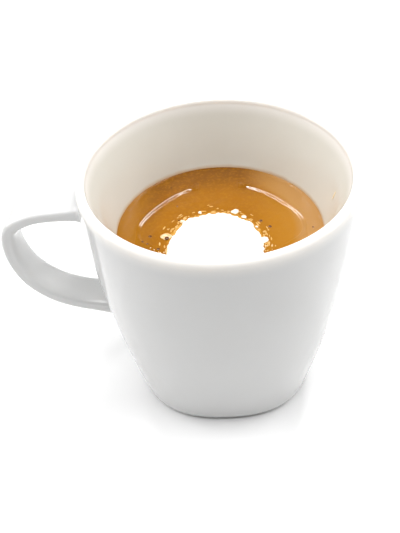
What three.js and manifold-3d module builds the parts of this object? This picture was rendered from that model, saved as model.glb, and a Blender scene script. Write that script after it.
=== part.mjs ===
// Espresso macchiato in a thick porcelain cup: the cup with its handle, the coffee and the spot of milk foam.
// Millimetres, +Z up. The origin is the middle of the cup's underside and the handle points along -X.
import * as THREE from 'three';
import { mergeVertices } from 'three/addons/utils/BufferGeometryUtils.js';
import Module from 'manifold-3d';

// Cup body
const CUP_HEIGHT = 62;
const RIM_RADIUS = 31.4;
const LIP_THICKNESS = 2.2;
const BASE_RADIUS = 21.8;
const BASE_EDGE_RADIUS = 2.4;
const WALL_BULGE = 1.65;
const BASE_SQUARENESS = 2.5;
const FLOOR_THICKNESS = 9;
const HOLLOW_SHOULDER = new THREE.Vector2(24.5, 11.5);
const HOLLOW_BELLY_RADIUS = 17.5;

// Handle strap: centre line from the upper joint round to the lower joint, as [X, Z]
const HANDLE_LINE = [
  [-29.0, 54.0], [-36.0, 53.6], [-43.0, 52.7], [-48.0, 49.8], [-49.1, 43.8],
  [-47.0, 35.5], [-42.0, 29.6], [-35.2, 26.1], [-24.5, 24.0],
];
const STRAP_HALF_THICKNESS = 1.75;
const STRAP_HALF_DEPTH = 4.7;
const STRAP_SQUARENESS = 5;
const JOINT_FLARE = 1.1;
const JOINT_FLARE_LENGTH = 5;

// Drink
const COFFEE_LEVEL = CUP_HEIGHT - 17;
const FOAM_CENTRE = new THREE.Vector2(-1.2, -5.0);
const FOAM_RADIUS = 11.6;
const FOAM_DOME = 0.7;
const FOAM_THICKNESS = 2.6;
const FOAM_WAVE = 0.035;
const CLEARANCE = 0.3;

// Facets
const CUP_SIDES = 64;
const WALL_ROWS = 13;
const EDGE_ROWS = 4;
const LIP_ROWS = 6;
const HOLLOW_ROWS = 14;
const STRAP_STEPS = 34;
const STRAP_SIDES = 14;
const COFFEE_SIDES = 48;
const COFFEE_ROWS = 10;
const FOAM_SIDES = 40;
const FOAM_ROWS = 3;

const wasm = await Module();
wasm.setup();

// Radius of the cup's outer wall, to the middle of its flattened sides
function wallRadius(height) {
  const rise = Math.min(height / (CUP_HEIGHT - LIP_THICKNESS / 2), 1);
  return BASE_RADIUS + (RIM_RADIUS - BASE_RADIUS) * (1 - (1 - rise) ** WALL_BULGE);
}

// The section is a circle at the rim and a soft square at the base
function squareness(height, angle) {
  const power = 2 + (BASE_SQUARENESS - 2) * (1 - height / CUP_HEIGHT);
  const sum = Math.abs(Math.cos(angle)) ** power + Math.abs(Math.sin(angle)) ** power;
  return sum ** (-1 / power);
}

function arcPoints(centreX, centreY, radius, startAngle, endAngle, steps) {
  return new THREE.EllipseCurve(centreX, centreY, radius, radius, startAngle, endAngle).getPoints(steps);
}

function outerProfile() {
  const edgeRadius = wallRadius(BASE_EDGE_RADIUS) - BASE_EDGE_RADIUS;
  const points = [new THREE.Vector2(0, 0)];
  points.push(...arcPoints(edgeRadius, BASE_EDGE_RADIUS, BASE_EDGE_RADIUS, -Math.PI / 2, 0, EDGE_ROWS));
  const lipHeight = CUP_HEIGHT - LIP_THICKNESS / 2;
  for (let row = 1; row < WALL_ROWS; row += 1) {
    const height = BASE_EDGE_RADIUS + (lipHeight - BASE_EDGE_RADIUS) * (row / WALL_ROWS);
    points.push(new THREE.Vector2(wallRadius(height), height));
  }
  return points;
}

function lipProfile() {
  const lipRadius = LIP_THICKNESS / 2;
  return arcPoints(RIM_RADIUS - lipRadius, CUP_HEIGHT - lipRadius, lipRadius, 0, Math.PI, LIP_ROWS);
}

// The egg-shaped hollow, from the lip's inner edge down to the middle of its floor
function hollowCurve() {
  return new THREE.CubicBezierCurve(
    new THREE.Vector2(RIM_RADIUS - LIP_THICKNESS, CUP_HEIGHT - LIP_THICKNESS / 2),
    new THREE.Vector2(HOLLOW_SHOULDER.x, CUP_HEIGHT - HOLLOW_SHOULDER.y),
    new THREE.Vector2(HOLLOW_BELLY_RADIUS, FLOOR_THICKNESS),
    new THREE.Vector2(0, FLOOR_THICKNESS),
  );
}

// A lathe about Z; shape(height, angle, row) scales each point's radius
function turned(profile, sides, shape = () => 1) {
  const geometry = new THREE.LatheGeometry(profile, sides).rotateX(Math.PI / 2);
  const position = geometry.attributes.position;
  for (let index = 0; index < position.count; index += 1) {
    const point = new THREE.Vector3().fromBufferAttribute(position, index);
    const scale = shape(point.z, Math.atan2(point.y, point.x), index % profile.length);
    position.setXYZ(index, point.x * scale, point.y * scale, point.z);
  }
  return geometry;
}

function cupBody() {
  const outer = outerProfile();
  const profile = [...outer, ...lipProfile(), ...hollowCurve().getPoints(HOLLOW_ROWS).slice(1)];
  const squared = (height, angle, row) => (row < outer.length ? squareness(height, angle) : 1);
  return turned(profile, CUP_SIDES, squared);
}

// One ring of the strap's section at a place along its centre line
function strapRing(line, length, place) {
  const centre = line.getPointAt(place);
  const along = line.getTangentAt(place);
  const across = new THREE.Vector3(-along.z, 0, along.x);
  const toJoint = Math.min(place, 1 - place) * length;
  const flare = JOINT_FLARE * Math.exp(-((toJoint / JOINT_FLARE_LENGTH) ** 2));
  const ring = [];
  for (let side = 0; side < STRAP_SIDES; side += 1) {
    const angle = (side / STRAP_SIDES) * 2 * Math.PI;
    const [c, s] = [Math.cos(angle), Math.sin(angle)];
    const inPlane = Math.sign(c) * Math.abs(c) ** (2 / STRAP_SQUARENESS) * (STRAP_HALF_THICKNESS + flare);
    const depth = Math.sign(s) * Math.abs(s) ** (2 / STRAP_SQUARENESS) * (STRAP_HALF_DEPTH + flare);
    ring.push(centre.clone().addScaledVector(across, inPlane).add(new THREE.Vector3(0, depth, 0)));
  }
  return { centre, ring };
}

function handleStrap() {
  const line = new THREE.CatmullRomCurve3(HANDLE_LINE.map(([x, z]) => new THREE.Vector3(x, 0, z)));
  const length = line.getLength();
  const rings = [];
  for (let step = 0; step <= STRAP_STEPS; step += 1) {
    rings.push(strapRing(line, length, step / STRAP_STEPS));
  }
  const points = [rings[0].centre, ...rings.flatMap(({ ring }) => ring), rings[STRAP_STEPS].centre];
  const last = points.length - 1;
  const vertex = (step, side) => 1 + step * STRAP_SIDES + (side % STRAP_SIDES);
  const faces = [];
  for (let side = 0; side < STRAP_SIDES; side += 1) {
    faces.push(0, vertex(0, side), vertex(0, side + 1));
    faces.push(last, vertex(STRAP_STEPS, side + 1), vertex(STRAP_STEPS, side));
    for (let step = 0; step < STRAP_STEPS; step += 1) {
      const [a, b] = [vertex(step, side), vertex(step, side + 1)];
      const [c, d] = [vertex(step + 1, side), vertex(step + 1, side + 1)];
      faces.push(a, c, b, b, c, d);
    }
  }
  return new THREE.BufferGeometry().setFromPoints(points).setIndex(faces);
}

// Where a falling curve passes a height, found by halving
function placeAtHeight(curve, height) {
  let [above, below] = [0, 1];
  for (let halving = 0; halving < 40; halving += 1) {
    const middle = (above + below) / 2;
    if (curve.getPoint(middle).y > height) {
      above = middle;
    } else {
      below = middle;
    }
  }
  return above;
}

// The hollow's curve from its floor up to the coffee's level, moved in by the clearance
function coffeeGeometry() {
  const curve = hollowCurve();
  const brim = placeAtHeight(curve, COFFEE_LEVEL);
  const profile = [new THREE.Vector2(0, FLOOR_THICKNESS + CLEARANCE)];
  for (let row = 1; row <= COFFEE_ROWS; row += 1) {
    const place = 1 - (1 - brim) * (row / COFFEE_ROWS);
    const along = curve.getTangent(place);
    const point = curve.getPoint(place).addScaledVector(new THREE.Vector2(along.y, -along.x), CLEARANCE);
    profile.push(new THREE.Vector2(point.x, Math.min(point.y, COFFEE_LEVEL)));
  }
  return turned([...profile, new THREE.Vector2(0, COFFEE_LEVEL)], COFFEE_SIDES);
}

// A shallow lens with a gently wavy edge, grown all round by the given amount
function foamGeometry(grow) {
  const radius = FOAM_RADIUS + grow;
  const profile = [];
  for (let row = 0; row <= FOAM_ROWS; row += 1) {
    const angle = (row / FOAM_ROWS) * (Math.PI / 2);
    profile.push(new THREE.Vector2(radius * Math.sin(angle), -(FOAM_THICKNESS + grow) * Math.cos(angle)));
  }
  for (let row = 1; row <= FOAM_ROWS; row += 1) {
    const angle = (row / FOAM_ROWS) * (Math.PI / 2);
    profile.push(new THREE.Vector2(radius * Math.cos(angle), (FOAM_DOME + grow) * Math.sin(angle)));
  }
  const wave = (height, angle) => 1 + FOAM_WAVE * (Math.sin(3 * angle + 0.8) + 0.6 * Math.sin(5 * angle + 2.1));
  const lens = turned(profile, FOAM_SIDES, wave);
  return lens.translate(FOAM_CENTRE.x, FOAM_CENTRE.y, COFFEE_LEVEL);
}

// Joining and cutting
function toSolid(geometry) {
  const bare = geometry.clone();
  bare.deleteAttribute('normal');
  bare.deleteAttribute('uv');
  const merged = mergeVertices(bare, 1e-4);
  const faces = [];
  for (let start = 0; start < merged.index.count; start += 3) {
    const [a, b, c] = [0, 1, 2].map((corner) => merged.index.getX(start + corner));
    if (a !== b && b !== c && c !== a) {
      faces.push(a, b, c);
    }
  }
  const vertProperties = Float32Array.from(merged.attributes.position.array);
  return new wasm.Manifold(new wasm.Mesh({ numProp: 3, vertProperties, triVerts: Uint32Array.from(faces) }));
}

function toGeometry(solid) {
  const { vertProperties, triVerts } = solid.getMesh();
  const geometry = new THREE.BufferGeometry();
  geometry.setAttribute('position', new THREE.BufferAttribute(vertProperties, 3));
  geometry.setIndex(new THREE.BufferAttribute(triVerts, 1));
  geometry.computeVertexNormals();
  return geometry;
}

function part(name, solid, colour, roughness) {
  const material = new THREE.MeshStandardMaterial({ color: colour, roughness, metalness: 0 });
  const mesh = new THREE.Mesh(toGeometry(solid), material);
  mesh.name = name;
  return mesh;
}

const cup = toSolid(cupBody()).add(toSolid(handleStrap()));
const coffee = toSolid(coffeeGeometry()).subtract(toSolid(foamGeometry(CLEARANCE)));
const foam = toSolid(foamGeometry(0));

const macchiato = new THREE.Group();
macchiato.add(part('cup', cup, '#efece8', 0.12));
macchiato.add(part('coffee', coffee, '#b97c2e', 0.3));
macchiato.add(part('milk_foam', foam, '#efe7dc', 0.6));

export default macchiato;
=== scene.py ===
import math

import bmesh
import bpy
import numpy as np
from mathutils import Matrix, Quaternion, Vector, noise


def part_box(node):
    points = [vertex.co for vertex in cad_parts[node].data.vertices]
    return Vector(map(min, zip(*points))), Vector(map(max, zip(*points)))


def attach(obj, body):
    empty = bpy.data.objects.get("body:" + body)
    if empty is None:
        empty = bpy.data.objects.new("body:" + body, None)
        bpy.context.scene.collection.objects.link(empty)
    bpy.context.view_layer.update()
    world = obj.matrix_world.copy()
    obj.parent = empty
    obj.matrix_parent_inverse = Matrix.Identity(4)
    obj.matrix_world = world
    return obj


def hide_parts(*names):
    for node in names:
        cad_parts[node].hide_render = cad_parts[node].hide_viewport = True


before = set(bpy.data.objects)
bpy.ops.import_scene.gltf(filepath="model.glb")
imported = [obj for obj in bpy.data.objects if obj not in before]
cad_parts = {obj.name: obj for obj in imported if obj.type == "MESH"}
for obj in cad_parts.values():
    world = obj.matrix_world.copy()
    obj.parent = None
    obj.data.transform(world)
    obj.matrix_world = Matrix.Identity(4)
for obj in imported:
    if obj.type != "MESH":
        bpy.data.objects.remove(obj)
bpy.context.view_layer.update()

# Sizes are in millimetres, as the cup's are; meshes are made in metres
MM = 0.001


def box_mm(node):
    low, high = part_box(node)
    return np.array(low) / MM, np.array(high) / MM


CUP_HIGH = box_mm("cup")[1]
COFFEE_HIGH = box_mm("coffee")[1]
FOAM_LOW, FOAM_HIGH = box_mm("milk_foam")

# Cup body
CUP_HEIGHT = CUP_HIGH[2]
RIM_RADIUS = CUP_HIGH[0]
LIP_THICKNESS = 2.2
LIP_OUTER_WIDTH = 1.6
LIP_OUTER_DROP = 1.9
LIP_PAINTED_HIGHLIGHT_DROP = 4
BASE_RADIUS = 21.8
BASE_EDGE_RADIUS = 2.4
WALL_BULGE = 1.65
BASE_SQUARENESS = 2.5
FLOOR_THICKNESS = 9
HOLLOW_SHOULDER = (24.5, CUP_HEIGHT - 11.5)
HOLLOW_BELLY_RADIUS = 17.5
# A line of this lean and start, radius against height, parts the hollow's glaze, tinted darker and warmer
# as painted shade, from the outside's
INSIDE_LEAN = 0.19
INSIDE_START = 18.2
FOOT_RING_WIDTH = 3.6
FOOT_RECESS = 0.7

# Handle strap, its centre line as (X, Z)
HANDLE_LINE = np.array([
    (-29.0, 54.0), (-36.0, 53.6), (-43.0, 52.7), (-48.0, 49.8), (-49.1, 43.8),
    (-47.0, 35.5), (-42.0, 29.6), (-35.2, 26.1), (-24.5, 24.0),
])
STRAP_HALF_THICKNESS = 1.75
STRAP_HALF_DEPTH = 4.7
STRAP_SQUARENESS = 5
STRAP_INNER_SQUARENESS = 2.8
JOINT_FLARE = 0.7
JOINT_FLARE_LENGTH = 5
JOINT_FILLET = 1.5

# Drink; the crema stands a little higher outside a ring than inside it
COFFEE_LEVEL = COFFEE_HIGH[2]
CREMA_EDGE_RADIUS = 17.2
CREMA_EDGE_SIDE_REACH = 2.3
CREMA_EDGE_WIDTH = 0.9
CREMA_EDGE_FADE = 5.0
CREMA_EDGE_HEIGHT = 0.46
CREMA_LEVEL = COFFEE_LEVEL - CREMA_EDGE_HEIGHT
MENISCUS_HEIGHT = 0.2
MENISCUS_REACH = 0.5
FOAM_SHIFT = (-0.4, 0.9)
FOAM_INSET = 1.4
FOAM_CENTRE = (FOAM_LOW[:2] + FOAM_HIGH[:2]) / 2 + FOAM_SHIFT
FOAM_RADIUS = (FOAM_HIGH[0] - FOAM_LOW[0]) / 2 - FOAM_INSET
FOAM_FRONT_REACH = 1.3
FOAM_DRAUGHT = COFFEE_LEVEL - FOAM_LOW[2]
FOAM_EDGE_LEVEL = CREMA_LEVEL + 0.1

# Studio, in metres; lights stand this far from the cup
LIGHT_DISTANCE = 0.65
TOP_LIGHT_DISTANCE = 0.3
WORLD_STRENGTH = 0.2
FLOOR_HALF_SIDE = 3.0

# Camera, as the photograph has it
LENS = 50
SENSOR_WIDTH = 36
CAMERA_PLACE = (0, -133.7, 156.4)
CAMERA_PITCH = math.radians(42.70)
CAMERA_YAW = math.radians(-2.25)
CAMERA_ROLL = math.radians(3.92)


# Curves and small maths
def smooth_step(value):
    clipped = np.clip(value, 0, 1)
    return clipped * clipped * (3 - 2 * clipped)


def soft_ramp(value):
    """Rises from 0 to 1 between -0.5 and 0.5 in a straight line with rounded ends."""
    softness = 0.2
    rise = np.logaddexp(0, (value + 0.5) / softness) - np.logaddexp(0, (value - 0.5) / softness)
    return softness * rise


def signed_power(value, power):
    return np.sign(value) * np.abs(value) ** power


def noise_at(points, size, seed):
    """Smooth noise from -1 to 1 with lumps of the given size, at points in millimetres."""
    shift = Vector((seed * 17.3, seed * 5.1, seed * 9.7))
    return np.array([noise.noise(Vector(point) / size + shift) for point in points])


def wall_radius(height):
    rise = np.clip(height / (CUP_HEIGHT - LIP_THICKNESS / 2), 0, 1)
    return BASE_RADIUS + (RIM_RADIUS - BASE_RADIUS) * (1 - (1 - rise) ** WALL_BULGE)


def squareness(height, angle):
    power = 2 + (BASE_SQUARENESS - 2) * (1 - height / CUP_HEIGHT)
    total = np.abs(np.cos(angle)) ** power + np.abs(np.sin(angle)) ** power
    return total ** (-1 / power)


def ellipse(centre, size, start, end, steps):
    angles = np.linspace(start, end, steps + 1)
    return np.column_stack([centre[0] + size[0] * np.cos(angles), centre[1] + size[1] * np.sin(angles)])


def hollow_curve(places):
    t = np.asarray(places)[:, None]
    lip = np.array([RIM_RADIUS - LIP_THICKNESS, CUP_HEIGHT - LIP_THICKNESS / 2])
    shoulder = np.array(HOLLOW_SHOULDER)
    belly = np.array([HOLLOW_BELLY_RADIUS, FLOOR_THICKNESS])
    floor = np.array([0, FLOOR_THICKNESS])
    upper = (1 - t) ** 3 * lip + 3 * (1 - t) ** 2 * t * shoulder
    return upper + 3 * (1 - t) * t ** 2 * belly + t ** 3 * floor


def hollow_radius(height):
    curve = hollow_curve(np.linspace(1, 0, 400))
    return np.interp(height, curve[:, 1], curve[:, 0])


def spline(points, steps):
    """Centripetal spline through the points, evenly spaced along its length."""
    ends = np.vstack([2 * points[0] - points[1], points, 2 * points[-1] - points[-2]])
    dense = []
    for before, start, end, after in zip(ends, ends[1:], ends[2:], ends[3:]):
        gaps = [np.linalg.norm(b - a) ** 0.5 for a, b in ((before, start), (start, end), (end, after))]
        leave = (start - before) / gaps[0] - (end - before) / (gaps[0] + gaps[1]) + (end - start) / gaps[1]
        arrive = (end - start) / gaps[1] - (after - start) / (gaps[1] + gaps[2]) + (after - end) / gaps[2]
        t = np.linspace(0, 1, 60, endpoint=False)[:, None]
        blend = (2 * t ** 3 - 3 * t ** 2 + 1) * start + (3 * t ** 2 - 2 * t ** 3) * end
        turn = (t ** 3 - 2 * t ** 2 + t) * leave + (t ** 3 - t ** 2) * arrive
        dense.append(blend + turn * gaps[1])
    line = np.vstack(dense + [points[-1:]])
    length = np.r_[0, np.cumsum(np.linalg.norm(np.diff(line, axis=0), axis=1))]
    even = np.linspace(0, length[-1], steps)
    return np.column_stack([np.interp(even, length, line[:, axis]) for axis in (0, 1)])


# Mesh making
def new_object(name, points, faces):
    mesh = bpy.data.meshes.new(name)
    mesh.from_pydata(np.asarray(points) * MM, [], faces)
    work = bmesh.new()
    work.from_mesh(mesh)
    bmesh.ops.recalc_face_normals(work, faces=work.faces)
    work.to_mesh(mesh)
    work.free()
    mesh.shade_smooth()
    piece = bpy.data.objects.new(name, mesh)
    bpy.context.scene.collection.objects.link(piece)
    return piece


def ring_faces(rows, sides):
    """Faces of a closed tube of rings, whose first and last points are the two poles."""
    faces = []
    last = rows * sides + 1
    for side in range(sides):
        after = (side + 1) % sides
        faces.append((0, 1 + after, 1 + side))
        for row in range(rows - 1):
            a, b = 1 + row * sides + side, 1 + row * sides + after
            faces.append((a, b, b + sides, a + sides))
        top = 1 + (rows - 1) * sides
        faces.append((last, top + side, top + after))
    return faces


def turned(name, profile, sides, shape=None):
    """A closed lathe of a profile of (radius, height) rows whose ends lie on the axis."""
    angles = np.linspace(0, 2 * np.pi, sides, endpoint=False)
    rows = []
    for row, (radius, height) in enumerate(profile[1:-1]):
        scale = shape(row + 1, height, angles) if shape else 1
        reach = radius * scale
        level = np.full(sides, height)
        rows.append(np.column_stack([reach * np.cos(angles), reach * np.sin(angles), level]))
    poles = [(0, 0, profile[0][1])], [(0, 0, profile[-1][1])]
    return new_object(name, np.vstack([poles[0], *rows, poles[1]]), ring_faces(len(rows), sides))


def join(main, other):
    """Fuses the other closed piece into the main one and removes it."""
    cut = main.modifiers.new("join", "BOOLEAN")
    cut.operation = "UNION"
    cut.solver = "MANIFOLD"
    cut.object = other
    fused = bpy.data.meshes.new_from_object(main.evaluated_get(bpy.context.evaluated_depsgraph_get()))
    main.modifiers.remove(cut)
    main.data = fused
    fused.shade_smooth()
    bpy.data.objects.remove(other)


# Materials
def new_material(name):
    made = bpy.data.materials.new(name)
    made.use_nodes = True
    return made, made.node_tree, made.node_tree.nodes["Principled BSDF"]


def node(tree, kind, **inputs):
    made = tree.nodes.new(kind)
    for name, value in inputs.items():
        socket = made.inputs[name.replace("_", " ")]
        if isinstance(value, bpy.types.NodeSocket):
            tree.links.new(value, socket)
        else:
            socket.default_value = value
    return made


def maths(tree, operation, first, second=0.0):
    made = tree.nodes.new("ShaderNodeMath")
    made.operation = operation
    for socket, value in zip(made.inputs, (first, second)):
        if isinstance(value, bpy.types.NodeSocket):
            tree.links.new(value, socket)
        else:
            socket.default_value = value
    return made.outputs[0]


def fade(tree, value, start, end):
    """1 at start, fading smoothly to 0 at end."""
    ends = {"From_Min": start, "From_Max": end, "To_Min": 1.0, "To_Max": 0.0}
    made = node(tree, "ShaderNodeMapRange", Value=value, **ends)
    made.interpolation_type = "SMOOTHSTEP"
    return made.outputs["Result"]


def mix_colour(tree, factor, first, second):
    made = tree.nodes.new("ShaderNodeMix")
    made.data_type = "RGBA"
    sockets = [made.inputs["Factor"], made.inputs[6], made.inputs[7]]
    for socket, value in zip(sockets, (factor, first, second)):
        if isinstance(value, bpy.types.NodeSocket):
            tree.links.new(value, socket)
        else:
            socket.default_value = value
    return made.outputs[2]


def object_place(tree):
    return tree.nodes.new("ShaderNodeTexCoord").outputs["Object"]


def place_nodes(tree):
    """Place on the object: its coordinates, height and distance from the cup's axis, in metres."""
    spot = object_place(tree)
    parts = node(tree, "ShaderNodeSeparateXYZ", Vector=spot)
    squares = [maths(tree, "POWER", parts.outputs[axis], 2.0) for axis in ("X", "Y")]
    radius = maths(tree, "SQRT", maths(tree, "ADD", *squares))
    return spot, parts.outputs["Z"], radius


def speckle(tree, spot, size, detail=3.0):
    """Noise from 0 to 1 with lumps of the given size in millimetres."""
    made = node(tree, "ShaderNodeTexNoise", Vector=spot, Scale=1 / (size * MM), Detail=detail)
    return made.outputs["Fac"]


def bump(tree, shader, height, depth, strength=1.0):
    made = node(tree, "ShaderNodeBump", Height=height, Distance=depth * MM, Strength=strength)
    tree.links.new(made.outputs["Normal"], shader.inputs["Normal"])


def hollow_wall(tree, height, radius):
    """1 on the upper wall of the hollow and 0 on the outside."""
    lean = maths(tree, "SUBTRACT", radius, maths(tree, "MULTIPLY", height, INSIDE_LEAN))
    inside = fade(tree, lean, INSIDE_START * MM, (INSIDE_START + 0.7) * MM)
    return maths(tree, "MULTIPLY", inside, fade(tree, height, 35 * MM, 32 * MM))


def glaze_colour(tree, spot, height, hollow):
    """White outside; in the hollow a creamy, darker tint of painted shade; and a paler lip as a painted
    highlight.
    """
    cloud = speckle(tree, spot, 14)
    white = mix_colour(tree, cloud, (0.62, 0.62, 0.615, 1), (0.64, 0.64, 0.635, 1))
    # Painted shade: the hollow's glaze is darker and warmer than the outside's
    hollow_painted_shade = mix_colour(tree, cloud, (0.6, 0.585, 0.535, 1), (0.62, 0.605, 0.555, 1))
    # Painted highlight: the glaze is paler near the top of the lip, standing in for the light on it
    lip = fade(tree, height, (CUP_HEIGHT - 0.5) * MM, (CUP_HEIGHT - LIP_PAINTED_HIGHLIGHT_DROP) * MM)
    return mix_colour(tree, lip, mix_colour(tree, hollow, white, hollow_painted_shade), (0.75, 0.73, 0.7, 1))


def coffee_film(tree, spot, height, hollow):
    """How far the drink has stained the hollow's wall just above its level."""
    uneven = maths(tree, "MULTIPLY", speckle(tree, spot, 3.0, 2.0), 0.6 * MM)
    tide = maths(tree, "ADD", height, uneven)
    film = fade(tree, tide, (COFFEE_LEVEL + 0.4) * MM, (COFFEE_LEVEL + 1.5) * MM)
    return maths(tree, "MULTIPLY", maths(tree, "MULTIPLY", film, hollow), 0.65)


def porcelain():
    made, tree, shader = new_material("porcelain")
    spot, height, radius = place_nodes(tree)
    hollow = hollow_wall(tree, height, radius)
    glaze = glaze_colour(tree, spot, height, hollow)
    bare = fade(tree, height, 0.05 * MM, 0.4 * MM)
    clay = mix_colour(tree, speckle(tree, spot, 0.5), (0.62, 0.56, 0.49, 1), (0.74, 0.69, 0.62, 1))
    body = mix_colour(tree, bare, glaze, clay)
    stained = mix_colour(tree, coffee_film(tree, spot, height, hollow), body, (0.5, 0.28, 0.08, 1))
    tree.links.new(stained, shader.inputs["Base Color"])
    rough = node(tree, "ShaderNodeMapRange", Value=bare, To_Min=0.07, To_Max=0.6)
    tree.links.new(rough.outputs["Result"], shader.inputs["Roughness"])
    shader.inputs["Subsurface Weight"].default_value = 0.6
    shader.inputs["Subsurface Radius"].default_value = (1.0, 0.95, 0.9)
    shader.inputs["Subsurface Scale"].default_value = 1.5 * MM
    bump(tree, shader, speckle(tree, spot, 3.5, 2.0), 0.02)
    return made


def crema_colour(tree, spot, radius, grain, inside):
    """Golden inside the ring and brown outside it, with painted sheen brightening the left and the right,
    and a pale milk-coloured painted reflection at the outer right.
    """
    patches = speckle(tree, spot, 5.0, 2.0)
    brown = mix_colour(tree, patches, (0.14, 0.045, 0.0, 1), (0.22, 0.077, 0.0, 1))
    golden = mix_colour(tree, patches, (0.24, 0.085, 0.0, 1), (0.28, 0.103, 0.0, 1))
    smooth = mix_colour(tree, inside, brown, golden)
    flecks = maths(tree, "MULTIPLY", fade(tree, grain, 0.7, 0.45), 0.4)
    surface = mix_colour(tree, flecks, smooth, (0.34, 0.145, 0.005, 1))
    sideways = node(tree, "ShaderNodeSeparateXYZ", Vector=spot).outputs["X"]
    # Painted sheen: the crema is lighter at the left, standing in for the lights' reflection
    left = maths(tree, "MULTIPLY", fade(tree, sideways, -21 * MM, -14 * MM), 0.8)
    left_painted_sheen = mix_colour(tree, left, surface, (0.27, 0.108, 0.004, 1))
    # Painted sheen: lighter at the right, and pale at the outer right as a painted reflection of the
    # lights
    right = maths(tree, "MULTIPLY", fade(tree, sideways, 18 * MM, 5 * MM), 0.9)
    right_painted_sheen = mix_colour(tree, right, left_painted_sheen, (0.33, 0.138, 0.008, 1))
    crema_painted_reflection = maths(tree, "MULTIPLY", right, fade(tree, radius, 20 * MM, 17 * MM))
    return mix_colour(tree, crema_painted_reflection, right_painted_sheen, (0.35, 0.18, 0.055, 1))


def near_foam(tree, spot, grain):
    """1 beside the foam, fading out with a ragged edge."""
    away = node(tree, "ShaderNodeVectorMath", Vector=spot)
    away.operation = "DISTANCE"
    away.inputs[1].default_value = (*(FOAM_CENTRE * MM), COFFEE_LEVEL * MM)
    ragged = maths(tree, "ADD", away.outputs["Value"], maths(tree, "MULTIPLY", grain, 2.5 * MM))
    return fade(tree, ragged, (FOAM_RADIUS + 1.0) * MM, (FOAM_RADIUS + 2.6) * MM)


def crema_slope(tree, spot, height):
    """1 on the ring's slope at both sides, where the wet crema mirrors the strip lights."""
    above = fade(tree, height, (CREMA_LEVEL + 0.14) * MM, (CREMA_LEVEL + 0.08) * MM)
    below = fade(tree, height, (COFFEE_LEVEL - 0.1) * MM, (COFFEE_LEVEL - 0.03) * MM)
    sideways = node(tree, "ShaderNodeSeparateXYZ", Vector=spot).outputs["X"]
    aside = fade(tree, maths(tree, "ABSOLUTE", sideways), 7 * MM, 4.5 * MM)
    return maths(tree, "MULTIPLY", maths(tree, "MULTIPLY", above, below), aside)


def crema():
    made, tree, shader = new_material("crema")
    spot, height, radius = place_nodes(tree)
    grain = speckle(tree, spot, 0.7, 4.0)
    inside = fade(tree, radius, (CREMA_EDGE_RADIUS - 4) * MM, (CREMA_EDGE_RADIUS + 3.5) * MM)
    colour = crema_colour(tree, spot, radius, grain, inside)
    fringe = mix_colour(tree, near_foam(tree, spot, grain), colour, (0.55, 0.29, 0.045, 1))
    tree.links.new(fringe, shader.inputs["Base Color"])
    slope = crema_slope(tree, spot, height)
    rough = node(tree, "ShaderNodeMapRange", Value=slope, To_Min=0.3, To_Max=0.06)
    tree.links.new(rough.outputs["Result"], shader.inputs["Roughness"])
    shine = node(tree, "ShaderNodeMapRange", Value=slope, To_Min=0.25, To_Max=0.6)
    tree.links.new(shine.outputs["Result"], shader.inputs["Specular IOR Level"])
    shader.inputs["IOR"].default_value = 1.45
    bump(tree, shader, maths(tree, "MULTIPLY", grain, inside), 0.05, 0.5)
    return made


def milk_foam_finish():
    made, tree, shader = new_material("milk_foam")
    spot, height, _ = place_nodes(tree)
    grain = speckle(tree, spot, 0.7, 4.0)
    uneven = maths(tree, "ADD", height, maths(tree, "MULTIPLY", grain, 0.3 * MM))
    edge = fade(tree, uneven, (FOAM_EDGE_LEVEL + 0.12) * MM, (FOAM_EDGE_LEVEL + 0.5) * MM)
    white = mix_colour(tree, grain, (0.88, 0.85, 0.8, 1), (0.93, 0.91, 0.87, 1))
    tree.links.new(mix_colour(tree, edge, white, (0.55, 0.31, 0.07, 1)), shader.inputs["Base Color"])
    shader.inputs["Roughness"].default_value = 0.5
    bump(tree, shader, grain, 0.06, 0.6)
    return made


def bubble_skin(name, low, high):
    made, tree, shader = new_material(name)
    spot = object_place(tree)
    tree.links.new(mix_colour(tree, speckle(tree, spot, 0.3), low, high), shader.inputs["Base Color"])
    shader.inputs["Roughness"].default_value = 0.15
    return made


def dried_coffee():
    made, tree, shader = new_material("dried_coffee")
    spot = object_place(tree)
    tone = mix_colour(tree, speckle(tree, spot, 0.4), (0.6, 0.46, 0.24, 1), (0.72, 0.62, 0.42, 1))
    tree.links.new(tone, shader.inputs["Base Color"])
    shader.inputs["Roughness"].default_value = 0.35
    return made


def floor_finish():
    made, tree, shader = new_material("studio_floor")
    spot = object_place(tree)
    tone = mix_colour(tree, speckle(tree, spot, 60), (0.87, 0.87, 0.87, 1), (0.89, 0.89, 0.89, 1))
    tree.links.new(tone, shader.inputs["Base Color"])
    shader.inputs["Roughness"].default_value = 0.7
    return made


def dress(piece, material, slot, *nodes):
    piece.data.materials.clear()
    piece.data.materials.append(material)
    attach(piece, "root")
    if nodes:
        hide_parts(*nodes)


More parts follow.
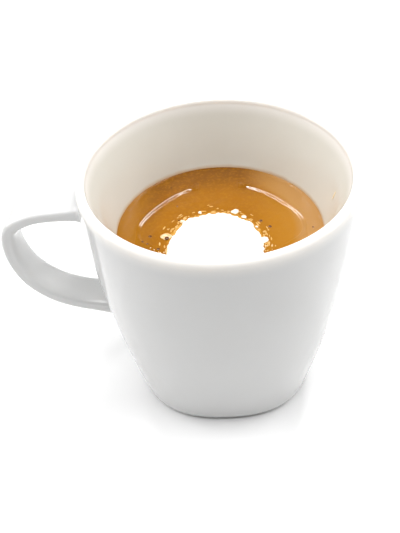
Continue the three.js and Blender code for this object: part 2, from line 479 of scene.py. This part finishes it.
# Cup
def body_profile():
    flat_edge = wall_radius(BASE_EDGE_RADIUS) - BASE_EDGE_RADIUS
    ring_inside = flat_edge - FOOT_RING_WIDTH
    underside = [(0, FOOT_RECESS), (ring_inside * 0.5, FOOT_RECESS), (ring_inside - 0.5, FOOT_RECESS)]
    underside += [(ring_inside - 0.15, FOOT_RECESS * 0.75), (ring_inside, 0.25), (ring_inside + 0.2, 0.05)]
    underside += [(ring_inside + 0.5, 0)]
    edge_size = (BASE_EDGE_RADIUS, BASE_EDGE_RADIUS)
    edge = ellipse((flat_edge, BASE_EDGE_RADIUS), edge_size, -np.pi / 2, 0, 16)
    shoulder = CUP_HEIGHT - LIP_OUTER_DROP
    heights = np.linspace(BASE_EDGE_RADIUS, shoulder, 68)[1:-1]
    wall = np.column_stack([wall_radius(heights), heights])
    crest = wall_radius(shoulder) - LIP_OUTER_WIDTH
    outer_lip = ellipse((crest, shoulder), (LIP_OUTER_WIDTH, LIP_OUTER_DROP), 0, np.pi / 2, 22)
    inner_drop = LIP_THICKNESS / 2
    inner_size = (crest - RIM_RADIUS + LIP_THICKNESS, inner_drop)
    inner_lip = ellipse((crest, CUP_HEIGHT - inner_drop), inner_size, np.pi / 2, np.pi, 14)[1:]
    hollow = hollow_curve(np.linspace(0, 1, 72))[1:]
    outer_rows = len(underside) + len(edge) + len(wall) + len(outer_lip)
    return np.vstack([underside, edge, wall, outer_lip, inner_lip, hollow]), outer_rows


def cup_body():
    profile, outer_rows = body_profile()

    def squared(row, height, angles):
        return squareness(height, angles) if row < outer_rows else np.ones_like(angles)

    return turned("glazed_cup", profile, 224, squared)


def wall_distance(points):
    angles = np.arctan2(points[:, 1], points[:, 0])
    reach = np.hypot(points[:, 0], points[:, 1])
    return reach / squareness(points[:, 2], angles) - wall_radius(points[:, 2])


def fillet_flare(points, outward):
    """How far each point moves outward so that the strap meets the wall in a round fillet."""
    flare = np.zeros(len(points))
    for _ in range(40):
        away = wall_distance(points + outward * flare[:, None])
        near = np.clip(JOINT_FILLET - away, 0, JOINT_FILLET)
        flare += 0.25 * (JOINT_FILLET - np.sqrt(JOINT_FILLET ** 2 - near ** 2) - flare)
    return flare


def handle_strap():
    """The strap, with a fillet where it runs into the wall."""
    line = spline(HANDLE_LINE, 1200)
    along = np.gradient(line, axis=0)
    along /= np.linalg.norm(along, axis=1)[:, None]
    from_wall = wall_distance(np.column_stack([line[:, 0], np.zeros(len(line)), line[:, 1]]))
    kept = (np.arange(len(line)) % 5 == 0) | (np.abs(from_wall - JOINT_FILLET / 2) < JOINT_FILLET / 2 + 1)
    line, along = line[kept], along[kept]
    angles = np.linspace(0, 2 * np.pi, 64, endpoint=False)
    power = 2 / np.where(np.cos(angles) > 0, STRAP_INNER_SQUARENESS, STRAP_SQUARENESS)
    across = signed_power(np.cos(angles), power)
    depth = signed_power(np.sin(angles), power)
    length = np.r_[0, np.cumsum(np.linalg.norm(np.diff(line, axis=0), axis=1))]
    to_joint = np.minimum(length, length[-1] - length)
    joint_flare = JOINT_FLARE * np.exp(-(to_joint / JOINT_FLARE_LENGTH) ** 2)
    rings = []
    for (x, z), (tangent_x, tangent_z), extra in zip(line, along, joint_flare):
        side = np.array([-tangent_z, 0, tangent_x])
        spread = across[:, None] * (STRAP_HALF_THICKNESS + extra) * side
        spread[:, 1] += depth * (STRAP_HALF_DEPTH + extra)
        points = np.array([x, 0, z]) + spread
        outward = spread / np.linalg.norm(spread, axis=1)[:, None]
        rings.append(points + outward * fillet_flare(points, outward)[:, None])
    poles = [(line[0][0], 0, line[0][1])], [(line[-1][0], 0, line[-1][1])]
    points = np.vstack([poles[0], *rings, poles[1]])
    return new_object("handle", points, ring_faces(len(rings), len(angles)))


def make_cup():
    cup = cup_body()
    join(cup, handle_strap())
    dress(cup, porcelain(), "porcelain", "cup")


# Coffee
def crema_height(points):
    """Height of the crema above the coffee's level, at points (X, Y)."""
    radius = np.hypot(points[:, 0], points[:, 1])
    angle = np.arctan2(points[:, 1], points[:, 0])
    wander = 0.3 * np.cos(angle) + 0.06 * np.sin(5 * angle + 0.6)
    edge = CREMA_EDGE_RADIUS + CREMA_EDGE_SIDE_REACH * np.cos(angle) ** 12 + wander
    from_back = np.abs((np.degrees(angle) + 90) % 360 - 180)
    steep = smooth_step((from_back - 6) / 20) * smooth_step((118 - from_back) / 26)
    outside = soft_ramp((radius - edge) / (CREMA_EDGE_WIDTH + CREMA_EDGE_FADE * (1 - steep)))
    flat = np.column_stack([points, np.zeros(len(points))])
    lumps = 0.07 * noise_at(flat, 2.6, 1) + 0.03 * noise_at(flat, 0.9, 2)
    ripple = 0.02 * noise_at(flat, 6.0, 3)
    to_wall = np.clip(hollow_radius(COFFEE_LEVEL) - radius, 0, None)
    meniscus = MENISCUS_HEIGHT * np.exp(-to_wall / MENISCUS_REACH)
    return (1 - outside) ** 3 * lumps - (1 - outside) * CREMA_EDGE_HEIGHT + outside * ripple + meniscus


def make_coffee():
    sides = 288
    angles = np.linspace(0, 2 * np.pi, sides, endpoint=False)
    brim = hollow_radius(COFFEE_LEVEL + MENISCUS_HEIGHT) + 0.05
    first, last = CREMA_EDGE_RADIUS - 1, CREMA_EDGE_RADIUS + CREMA_EDGE_SIDE_REACH + 1
    radii = np.r_[np.arange(0.3, first, 0.36), np.arange(first, last, 0.08)]
    radii = np.r_[radii, np.linspace(last + 0.1, brim - 1.8, 10), np.linspace(brim - 1.6, brim, 16)]
    rows = []
    for radius in radii:
        flat = np.column_stack([radius * np.cos(angles), radius * np.sin(angles)])
        rows.append(np.column_stack([flat, COFFEE_LEVEL + crema_height(flat)]))
    for height in np.linspace(COFFEE_LEVEL - 0.5, FLOOR_THICKNESS + 0.3, 14):
        reach = hollow_radius(height) + 0.1
        level = np.full(sides, height)
        rows.append(np.column_stack([reach * np.cos(angles), reach * np.sin(angles), level]))
    middle = COFFEE_LEVEL + crema_height(np.zeros((1, 2)))[0]
    points = np.vstack([[(0, 0, middle)], *rows, [(0, 0, FLOOR_THICKNESS)]])
    coffee = new_object("crema_coffee", points, ring_faces(len(rows), sides))
    dress(coffee, crema(), "coffee", "coffee")


# Milk foam
# Blobs beside the spot, as (X, Y, radius, dome)
FOAM_BLOBS = (
    (10.0, -4.8, 1.1, 0.32), (3.9, 6.2, 1.0, 0.22), (-12.6, -1.9, 1.3, 0.1), (8.6, 0.2, 0.5, 0.25),
    (6.0, 4.0, 0.5, 0.25), (-8.9, 3.4, 0.5, 0.2), (-4.6, 6.4, 0.5, 0.2),
)
FLECK_COUNT = 260
FLECK_SPREAD = 1.3
FLECK_HEIGHT = 0.14
FOAM_SEED = 20


def foam_rise(share, dome):
    """Height of a foam lens above its edge, at a share of its radius from 0 to 1."""
    return dome * (1 - share ** 4) ** 0.5


def front_share(across):
    """0 behind the foam's middle, rising smoothly to 1 at its front."""
    return smooth_step((0.35 - across) / 0.7)


def foam_cap(centre, radius, dome, draught, sides, ragged, seed, front_reach=0.0):
    """A closed lens of foam with a ragged edge, floating in the crema."""
    angles = np.linspace(0, 2 * np.pi, sides, endpoint=False)
    way = np.column_stack([np.cos(angles), np.sin(angles)])
    round_edge = np.column_stack([way, np.zeros(sides)]) * radius
    wobble = noise_at(round_edge, radius * 0.55, seed) * 0.05 * radius
    coarse = noise_at(round_edge, 1.5, seed + 1)
    fine = noise_at(round_edge, 0.6, seed + 2)
    tatter = ragged * (coarse + 0.6 * fine)
    reach = radius + front_reach * front_share(way[:, 1]) + wobble + tatter
    rows = []
    for turn in np.linspace(0.03, 1, 44):
        share = math.sin(turn * math.pi / 2)
        flat = way * (reach * share)[:, None] + centre
        lumps = 0.07 * noise_at(np.column_stack([flat, np.zeros(sides)]), 1.7, seed + 3)
        rise = foam_rise(share, dome) + lumps * (1 - share ** 6)
        rows.append(np.column_stack([flat, FOAM_EDGE_LEVEL + rise]))
    for turn in np.linspace(0.15, 0.95, 5):
        flat = way * (reach * (1 - turn ** 2) ** 0.5)[:, None] + centre
        rows.append(np.column_stack([flat, np.full(sides, FOAM_EDGE_LEVEL - draught * turn)]))
    poles = [(*centre, FOAM_EDGE_LEVEL + dome)], [(*centre, FOAM_EDGE_LEVEL - draught)]
    return np.vstack([poles[0], *rows, poles[1]]), ring_faces(len(rows), sides)


def dome_shell(centre, radius, height, sides=14, rows=5):
    angles = np.linspace(0, 2 * np.pi, sides, endpoint=False)
    rings = []
    for turn in np.linspace(0.25, 1, rows):
        reach = radius * math.sin(turn * math.pi / 2)
        rise = height * math.cos(turn * math.pi / 2)
        level = np.full(sides, rise)
        rings.append(np.column_stack([reach * np.cos(angles), reach * np.sin(angles), level]) + centre)
    poles = [centre + (0, 0, height)], [centre - (0, 0, 0.2)]
    return np.vstack([poles[0], *rings, poles[1]]), ring_faces(rows, sides)


def on_crema(x, y):
    return np.array([x, y, COFFEE_LEVEL + crema_height(np.array([[x, y]]))[0] - 0.02])


def foam_flecks():
    """Small scraps of foam strewn round the spot's edge, drawn out along it."""
    draw = np.random.default_rng(FOAM_SEED)
    shells = []
    for _ in range(FLECK_COUNT):
        angle = draw.uniform(0, 2 * math.pi)
        edge = FOAM_RADIUS + FOAM_FRONT_REACH * front_share(math.sin(angle))
        reach = edge + abs(draw.normal()) * FLECK_SPREAD
        length, width = draw.uniform(0.15, 0.7), draw.uniform(0.1, 0.24)
        points, faces = dome_shell(np.zeros(3), 1.0, FLECK_HEIGHT, 10, 3)
        c, s = math.cos(angle), math.sin(angle)
        along_edge = np.array([[-s, -c, 0], [c, -s, 0], [0, 0, 1]])
        place = on_crema(FOAM_CENTRE[0] + reach * c, FOAM_CENTRE[1] + reach * s)
        shells.append((points * (length, width, 1) @ along_edge.T + place, faces))
    return shells


def joined(name, shells):
    """One object from several closed shells of (points, faces)."""
    points, faces = [], []
    for shell_points, shell_faces in shells:
        start = sum(len(block) for block in points)
        points.append(shell_points)
        faces += [tuple(start + corner for corner in face) for face in shell_faces]
    return new_object(name, np.vstack(points), faces)


def make_foam():
    dome = FOAM_HIGH[2] - FOAM_EDGE_LEVEL
    spot = (FOAM_CENTRE, FOAM_RADIUS, dome, FOAM_DRAUGHT - 0.6)
    shells = [foam_cap(*spot, 320, 0.5, FOAM_SEED, FOAM_FRONT_REACH)]
    for number, (x, y, radius, blob_dome) in enumerate(FOAM_BLOBS):
        shells.append(foam_cap(np.array([x, y]), radius, blob_dome, 0.5, 48, 0.4, FOAM_SEED + 11 + number))
    shells += foam_flecks()
    dress(joined("milk_foam_cap", shells), milk_foam_finish(), "milk_foam", "milk_foam")


# Bubbles, as (X, Y, radius): dark ones in the crema and grey ones on the foam, their colours painted shade
# of pits
CREMA_BUBBLES = (
    (-16.4, -1.5, 0.42), (-18.1, -3.5, 0.3), (-16.9, -4.3, 0.3), (-14.3, -6.2, 0.4), (-9.7, 4.0, 0.26),
    (-10.2, 9.5, 0.24), (-11.8, 16.5, 0.22), (9.8, 2.6, 0.42), (11.8, 0.3, 0.42), (21.7, -1.1, 0.26),
)
BLOB_BUBBLE = (-12.4, -2.6, 0.55)
FOAM_BUBBLES = ((-2.2, 4.4, 0.32), (-5.6, 3.2, 0.24), (2.0, -4.1, 0.26))


def make_bubbles():
    shells = [dome_shell(on_crema(x, y), radius, 0.3 * radius) for x, y, radius in CREMA_BUBBLES]
    x, y, radius = BLOB_BUBBLE
    shells.append(dome_shell(np.array([x, y, FOAM_EDGE_LEVEL + 0.1]), radius, 0.4 * radius))
    # Painted shade: the crema bubbles are coloured dark for the shade in their pits
    skin = bubble_skin("crema_bubble_painted_shade", (0.05, 0.014, 0.003, 1), (0.14, 0.045, 0.008, 1))
    dress(joined("crema_bubbles", shells), skin, "coffee")


def make_foam_bubbles():
    shells = []
    for x, y, radius in FOAM_BUBBLES:
        share = np.hypot(x - FOAM_CENTRE[0], y - FOAM_CENTRE[1]) / FOAM_RADIUS
        top = FOAM_EDGE_LEVEL + foam_rise(share, FOAM_HIGH[2] - FOAM_EDGE_LEVEL)
        shells.append(dome_shell(np.array([x, y, top]), radius, 0.3 * radius))
    # Painted shade: the foam bubbles are coloured grey for the shade in their pits
    skin = bubble_skin("foam_bubble_painted_shade", (0.34, 0.33, 0.31, 1), (0.5, 0.48, 0.44, 1))
    dress(joined("foam_bubbles", shells), skin, "milk_foam")


# Dried drip on the inner wall
STAIN_ANGLE = math.radians(2.0)
STAIN_HEIGHT = 52.4
STAIN_LENGTH = 1.2
STAIN_WIDTH = 0.42


def make_stain():
    rings, sides = 6, 24
    angles = np.linspace(0, 2 * np.pi, sides, endpoint=False)
    rows = []
    for share in np.linspace(1 / rings, 1, rings):
        height = STAIN_HEIGHT + STAIN_LENGTH * share * np.sin(angles)
        turn = STAIN_ANGLE + STAIN_WIDTH * share * np.cos(angles) / hollow_radius(STAIN_HEIGHT)
        reach = hollow_radius(height) + 0.02 - 0.12 * (1 - share ** 2)
        rows.append(np.column_stack([reach * np.cos(turn), reach * np.sin(turn), height]))
    inner = hollow_radius(STAIN_HEIGHT) - 0.1
    outer = inner + 0.3
    ends = [[(r * math.cos(STAIN_ANGLE), r * math.sin(STAIN_ANGLE), STAIN_HEIGHT)] for r in (inner, outer)]
    stain = new_object("coffee_drip", np.vstack([ends[0], *rows, ends[1]]), ring_faces(rings, sides))
    dress(stain, dried_coffee(), "coffee")


# Studio
def make_camera():
    forward = Vector((math.sin(CAMERA_YAW), math.cos(CAMERA_YAW), 0)) * math.cos(CAMERA_PITCH)
    forward.z = -math.sin(CAMERA_PITCH)
    level = Vector((math.cos(CAMERA_YAW), -math.sin(CAMERA_YAW), 0))
    up = level.cross(forward)
    right = level * math.cos(CAMERA_ROLL) - up * math.sin(CAMERA_ROLL)
    top = level * math.sin(CAMERA_ROLL) + up * math.cos(CAMERA_ROLL)
    data = bpy.data.cameras.new("camera")
    data.lens = LENS
    data.sensor_width = SENSOR_WIDTH
    data.clip_start = 0.01
    camera = bpy.data.objects.new("camera", data)
    turn = Matrix((right, top, -forward)).transposed().to_4x4()
    camera.matrix_world = Matrix.Translation(Vector(CAMERA_PLACE) * MM) @ turn
    bpy.context.scene.collection.objects.link(camera)
    bpy.context.scene.camera = camera


def softbox(name, azimuth, elevation, width, length, power, lean=0, distance=LIGHT_DISTANCE):
    """A light aimed at the cup; azimuth 0 is straight behind it and 90 to its right."""
    a, e = math.radians(azimuth), math.radians(elevation)
    way = Vector((math.sin(a) * math.cos(e), math.cos(a) * math.cos(e), math.sin(e)))
    data = bpy.data.lights.new(name, "AREA")
    data.shape = "RECTANGLE"
    data.size = width
    data.size_y = length
    data.energy = power
    light = bpy.data.objects.new(name, data)
    target = Vector((0, 0, COFFEE_LEVEL * MM))
    light.location = target + way * distance
    turn = Quaternion((0, 0, 1), math.radians(lean))
    light.rotation_euler = (way.to_track_quat("Z", "Y") @ turn).to_euler()
    bpy.context.scene.collection.objects.link(light)


def make_floor():
    half = FLOOR_HALF_SIDE
    mesh = bpy.data.meshes.new("studio_floor")
    square = [(-half, -half, 0), (half, -half, 0), (half, half, 0), (-half, half, 0)]
    mesh.from_pydata(square, [], [(0, 1, 2, 3)])
    mesh.materials.append(floor_finish())
    floor = bpy.data.objects.new("studio_floor", mesh)
    floor.location.z = -0.02 * MM
    bpy.context.scene.collection.objects.link(floor)


def make_world():
    world = bpy.data.worlds.new("studio")
    world.use_nodes = True
    background = world.node_tree.nodes["Background"]
    background.inputs["Color"].default_value = (1, 1, 1, 1)
    background.inputs["Strength"].default_value = WORLD_STRENGTH
    bpy.context.scene.world = world
    bpy.context.scene.view_settings.view_transform = "Standard"


def make_lights():
    for side, name in ((-1, "left"), (1, "right")):
        softbox(f"low_panel_{name}", 75 * side, 25, width=0.5, length=0.4, power=1.8)
        softbox(f"high_panel_{name}", 90 * side, 50, width=0.4, length=0.4, power=0.85)
        softbox(f"strip_{name}", 32 * side, 57, width=0.04, length=0.33, power=1.3, lean=10 * side)
    softbox("top_panel", 180, 78, width=0.26, length=0.18, power=0.8, distance=TOP_LIGHT_DISTANCE)


make_camera()
make_floor()
make_world()
make_lights()
make_cup()
make_coffee()
make_foam()
make_bubbles()
make_foam_bubbles()
make_stain()
